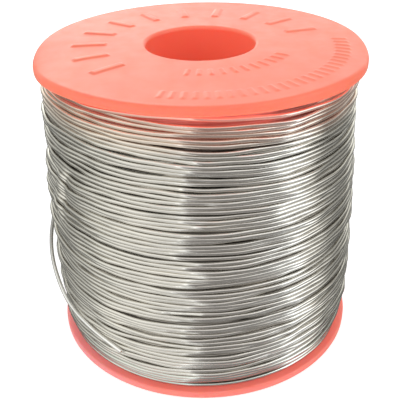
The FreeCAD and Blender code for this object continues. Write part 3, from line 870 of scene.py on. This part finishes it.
def turned(name, section, segments, material, lift=None):
    """A closed section of (radius, level) in mm turned round the axis. lift(r, azimuth,
    z) gives how far each point is raised."""
    section = np.array(section)
    rings = len(section)
    a = np.arange(segments) * 2 * np.pi / segments
    r = np.broadcast_to(section[:, 0][:, None], (rings, segments))
    z = np.broadcast_to(section[:, 1][:, None], (rings, segments)).copy()
    if lift is not None:
        z += lift(r, np.broadcast_to(a, (rings, segments)), z)
    verts = np.stack([r * np.cos(a), r * np.sin(a), z], -1).reshape(-1, 3) * MM
    i = np.arange(rings)[:, None] * segments
    i2 = ((np.arange(rings) + 1) % rings)[:, None] * segments
    m = np.arange(segments)[None, :]
    m2 = (m + 1) % segments
    quads = np.stack([i + m, i2 + m, i2 + m2, i + m2], -1).reshape(-1, 4)
    return make_object(name, verts, [quads], material)


def flat_top(d, half, soft):
    """1 inside half, 0 outside, with a soft edge."""
    t = np.clip((half + soft - np.abs(d)) / (2 * soft), 0, 1)
    return t * t * (3 - 2 * t)


def marks(r, a, z):
    """Plain raised bars and ticks, with the soft edges of a moulding."""
    top = np.clip((z - 61.35) / 0.1, 0, 1) * np.clip((31.3 - r) / 0.6, 0, 1)
    deg = np.degrees(a)
    total = np.zeros_like(r)
    for first, step, count, inner, outer, half, high, soft in (
        (20.0, 20.0, 11, 18.2, 24.8, 0.75, 0.26, 0.28),
        (-104.0, 4.0, 28, 25.7, 28.5, 0.32, 0.16, 0.22),
        (-98.0, 7.0, 11, 15.6, 18.2, 0.32, 0.20, 0.22),
    ):
        radial = flat_top(r - (inner + outer) / 2, (outer - inner) / 2, soft)
        for k in range(count):
            d = (deg - (first + k * step) + 180.0) % 360.0 - 180.0
            near_it = np.abs(d) < 12
            across = r * np.sin(np.radians(np.where(near_it, d, 12)))
            total = np.maximum(total, high * radial * flat_top(across, half, soft) * near_it)
    # slight sinks and waves of a thin moulded disc
    wave = 0.03 * np.cos(2 * a + 0.6) * (r / 32) ** 2 + 0.012 * np.cos(5 * a + 1.1) * (r / 32) ** 3
    # its two sides hang a little
    azimuth = deg + 90.0
    sag = 1.0 * near(azimuth, -76.0, 22.0) + 0.75 * near(azimuth, 76.0, 20.0)
    outer = np.clip((r - 20.0) / 12.0, 0, 1) ** 2 * (z > 59.0)
    # and its lower edge is a little thicker towards the right
    lip = 0.36 * near(azimuth, 46.0, 20.0) * np.clip((r - 28.5) / 3.0, 0, 1) * (z > 59.0) * (z < 60.7)
    return (total + wave) * top - sag * outer - lip


def add_mouldings():
    upper = chain(
        run((10.56, 61.2), (10.52, 24.95), 2.5)[1:],
        run((10.52, 24.95), (11.5, 24.95), 1.0),
        run((11.5, 24.95), (11.5, 27.35), 1.0),
        arc((11.5, 27.6), 0.25, -90, 90, 6),
        run((11.5, 27.85), (11.5, 30.85), 1.0),
        run((11.5, 30.85), (12.5, 30.85), 1.0),
        run((12.5, 30.85), (12.5, 59.95), 3.0),
        run((12.5, 59.95), (31.6, 59.95), 2.0),
        arc((31.6, 60.30), 0.35, -90, -8, 6),
        run((31.975, 60.3), (32.0, 60.95), 0.3),
        arc((31.25, 60.95), 0.75, 0, 90, 11),
        run((31.25, 61.70), (29.0, 61.742), 0.5),
        run((29.0, 61.742), (15.2, 61.999), 0.23),
        run((15.2, 61.999), (11.4, 62.07), 0.6),
        arc((11.25, 61.38), 0.7, 90, 180, 9),
        [(10.56, 61.2)],
    )
    top = turned("spool_upper", upper, 640, PLASTIC, marks)
    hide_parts("upper_half")
    lower = chain(
        run((10.5, 24.85), (10.5, 0.5), 2.5),
        arc((10.95, 0.45), 0.45, 180, 270, 7),
        run((10.95, 0.0), (31.4, 0.0), 1.5),
        arc((31.4, 0.6), 0.6, -90, 0, 9),
        run((32.0, 0.6), (32.0, 1.35), 0.3),
        arc((31.6, 1.35), 0.4, 0, 90, 8),
        run((31.6, 1.75), (12.5, 1.75), 1.5),
        run((12.5, 1.75), (12.5, 30.85), 3.0),
        run((12.5, 30.85), (11.5, 30.85), 1.0),
        run((11.5, 30.85), (11.5, 24.85), 1.0),
        run((11.5, 24.85), (10.5, 24.85), 1.0)[:-1],
    )
    base = turned("spool_lower", lower, 360, PLASTIC)
    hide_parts("lower_half")
    for piece in (top, base):
        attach(piece, "root")


add_mouldings()


# ------------------------------------------------------------------ CAD nodes that stay
def dress(node, material):
    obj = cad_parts[node]
    obj.data.materials.clear()
    obj.data.materials.append(material)


dress("wire_inner_layers", SLEEVE)
dress("wire_base_layer", SLEEVE)
dress("wire_start_end", WIRE_FREE)


# ------------------------------------------------------------------ floor and light
def add_floor():
    n = Nodes("floor")
    coords = n.new("ShaderNodeTexCoord").outputs["Object"]
    soft = n.noise(coords, 6.0, 2.0, 0.5)
    shader = n.new(
        "ShaderNodeBsdfPrincipled",
        {
            "Base Color": n.ramp(soft, [(0.3, (0.80, 0.80, 0.80)), (0.7, (0.82, 0.82, 0.82))]),
            "Roughness": 0.9,
            "Emission Color": (1.0, 1.0, 1.0, 1.0),
            "Emission Strength": 0.55,
        },
    )
    material = n.finish(shader)
    bpy.ops.mesh.primitive_circle_add(vertices=96, radius=1.6, fill_type="NGON", location=(0, 0, -0.00002))
    floor = bpy.context.object
    floor.name = "floor"
    floor.data.materials.append(material)
    floor.visible_glossy = False


def softbox(name, azimuth, elevation, distance, width, height, radiance, colour=(1, 1, 1), glossy=True, diffuse=True):
    data = bpy.data.lights.new(name, "AREA")
    data.shape = "RECTANGLE"
    data.size, data.size_y = width, height
    data.energy = radiance * math.pi * width * height
    data.color = colour
    light = bpy.data.objects.new(name, data)
    bpy.context.scene.collection.objects.link(light)
    a, e = math.radians(azimuth), math.radians(elevation)
    centre = Vector((0, 0, 0.031))
    away = Vector((math.sin(a) * math.cos(e), -math.cos(a) * math.cos(e), math.sin(e)))
    light.location = centre + away * distance
    light.rotation_mode = "QUATERNION"
    light.rotation_quaternion = away.to_track_quat("Z", "Y")
    light.visible_camera = False
    light.visible_glossy = glossy
    light.visible_diffuse = diffuse
    return light


# What the metal mirrors: brightness round the studio by azimuth, seen from the
# spool: below the horizon, near it and high up.
BELOW = [
    (-180, 0.50), (-140, 0.20), (-110, 0.18), (-96, 0.24), (-84, 0.43), (-66, 0.69), (-40, 0.74), (-16, 0.72),
    (-15, 1.12), (-12.0, 1.12), (-10.8, 0.26), (20, 0.26), (50, 0.29), (57, 0.32), (61, 0.98), (70, 0.78),
    (84, 0.36), (100, 0.11), (125, 0.12), (150, 0.44), (180, 0.50),
]
AROUND = [
    (-180, 1.75), (-172, 2.40), (-164, 2.60), (-158, 1.10), (-150, 1.05), (-140, 0.72), (-126, 0.54),
    (-110, 0.50), (-96, 0.66), (-88, 0.84), (-78, 1.02), (-66, 1.04), (-40, 1.06), (-24, 0.88), (-16.2, 0.74),
    (-15.4, 2.00), (-12.0, 2.00), (-10.8, 0.27), (20, 0.30), (50, 0.32), (59.5, 0.34), (62, 2.65), (66, 2.30),
    (71, 2.00), (80, 1.80), (90, 1.26), (97, 0.66), (104, 0.43), (116, 0.27), (130, 0.43), (145, 1.20),
    (180, 1.75),
]
ABOVE = [
    (-180, 1.10), (-150, 0.66), (-120, 0.58), (-100, 0.75), (-80, 1.04), (-60, 1.13), (-40, 1.14), (-17, 0.98),
    (-15.4, 1.60), (-12.2, 1.60), (-11.0, 0.90), (30, 1.00), (58, 1.16), (61, 2.35), (71, 2.12), (84, 1.12), (100, 0.30),
    (120, 0.32), (145, 0.80), (180, 1.15),
]
# the slight tints of that light: warm at the left, bluish at the two bright edges
TINTS = [
    (-180, (0.99, 1.0, 0.94)), (-90, (0.99, 1.0, 0.95)), (-50, (1.0, 0.995, 0.96)), (-15, (1.0, 0.995, 0.97)),
    (-14.6, (0.93, 0.98, 1.0)), (-11.6, (0.96, 0.98, 1.0)), (-9.6, (1.0, 0.96, 0.95)), (55, (1.0, 0.98, 0.96)),
    (59, (0.93, 0.97, 1.0)), (74, (0.96, 0.98, 1.0)), (90, (1.0, 0.995, 0.95)), (180, (0.99, 1.0, 0.94)),
]


def add_light():
    softbox("left_box", -44, 36, 0.60, 0.80, 0.56, 0.72, glossy=False)
    softbox("right_box", 72, 36, 0.60, 0.38, 0.56, 0.70, glossy=False)
    softbox("overhead", 160, 72, 0.70, 0.60, 0.60, 0.66, glossy=False)
    world = bpy.data.worlds.new("studio")
    bpy.context.scene.world = world
    world.use_nodes = True
    world.cycles.sampling_method = "NONE"
    n = Nodes.__new__(Nodes)
    n.tree = world.node_tree
    n.tree.nodes.clear()
    way = n.new("ShaderNodeSeparateXYZ", {"Vector": n.new("ShaderNodeTexCoord").outputs["Generated"]})
    turn = n.math("ARCTAN2", way.outputs["X"], n.math("MULTIPLY", way.outputs["Y"], -1.0))
    place = n.math("ADD", n.math("DIVIDE", turn, 2 * math.pi), 0.5)
    below, around, above = (
        n.ramp(place, [((a + 180) / 360, (v / 3, v / 3, v / 3)) for a, v in ring])
        for ring in (BELOW, AROUND, ABOVE)
    )

    def between(low, high, share):
        return n.math(
            "ADD",
            n.math("MULTIPLY", low, n.math("SUBTRACT", 1.0, share)),
            n.math("MULTIPLY", high, share),
        )

    ring = between(around, above, n.grey(way.outputs["Z"], 0.30, 0.75, 0.0, 1.0))
    ring = between(below, ring, n.grey(way.outputs["Z"], -0.06, 0.04, 0.0, 1.0))
    top = n.grey(way.outputs["Z"], 0.80, 0.95, 1.0, 0.80)
    level = n.math("MULTIPLY", n.math("MULTIPLY", ring, 3.0), top)
    tint = n.ramp(place, [((a + 180) / 360, colour) for a, colour in TINTS])
    mirrored = n.new("ShaderNodeBackground", {"Color": tint, "Strength": level})
    soft = n.new("ShaderNodeBackground", {"Color": (1, 1, 1, 1), "Strength": AMBIENT})
    seen = n.new("ShaderNodeBackground", {"Color": (1, 1, 1, 1), "Strength": 1.0})
    path = n.new("ShaderNodeLightPath")
    first = n.new("ShaderNodeMixShader", {0: path.outputs["Is Glossy Ray"], 1: soft.outputs[0], 2: mirrored.outputs[0]})
    second = n.new("ShaderNodeMixShader", {0: path.outputs["Is Camera Ray"], 1: first.outputs[0], 2: seen.outputs[0]})
    out = n.new("ShaderNodeOutputWorld")
    n.tree.links.new(second.outputs[0], out.inputs["Surface"])


AMBIENT = 0.66
add_floor()
add_light()
view = bpy.context.scene.view_settings
view.view_transform = "Standard"
view.look = "None"
view.exposure = 0.0
view.gamma = 1.0
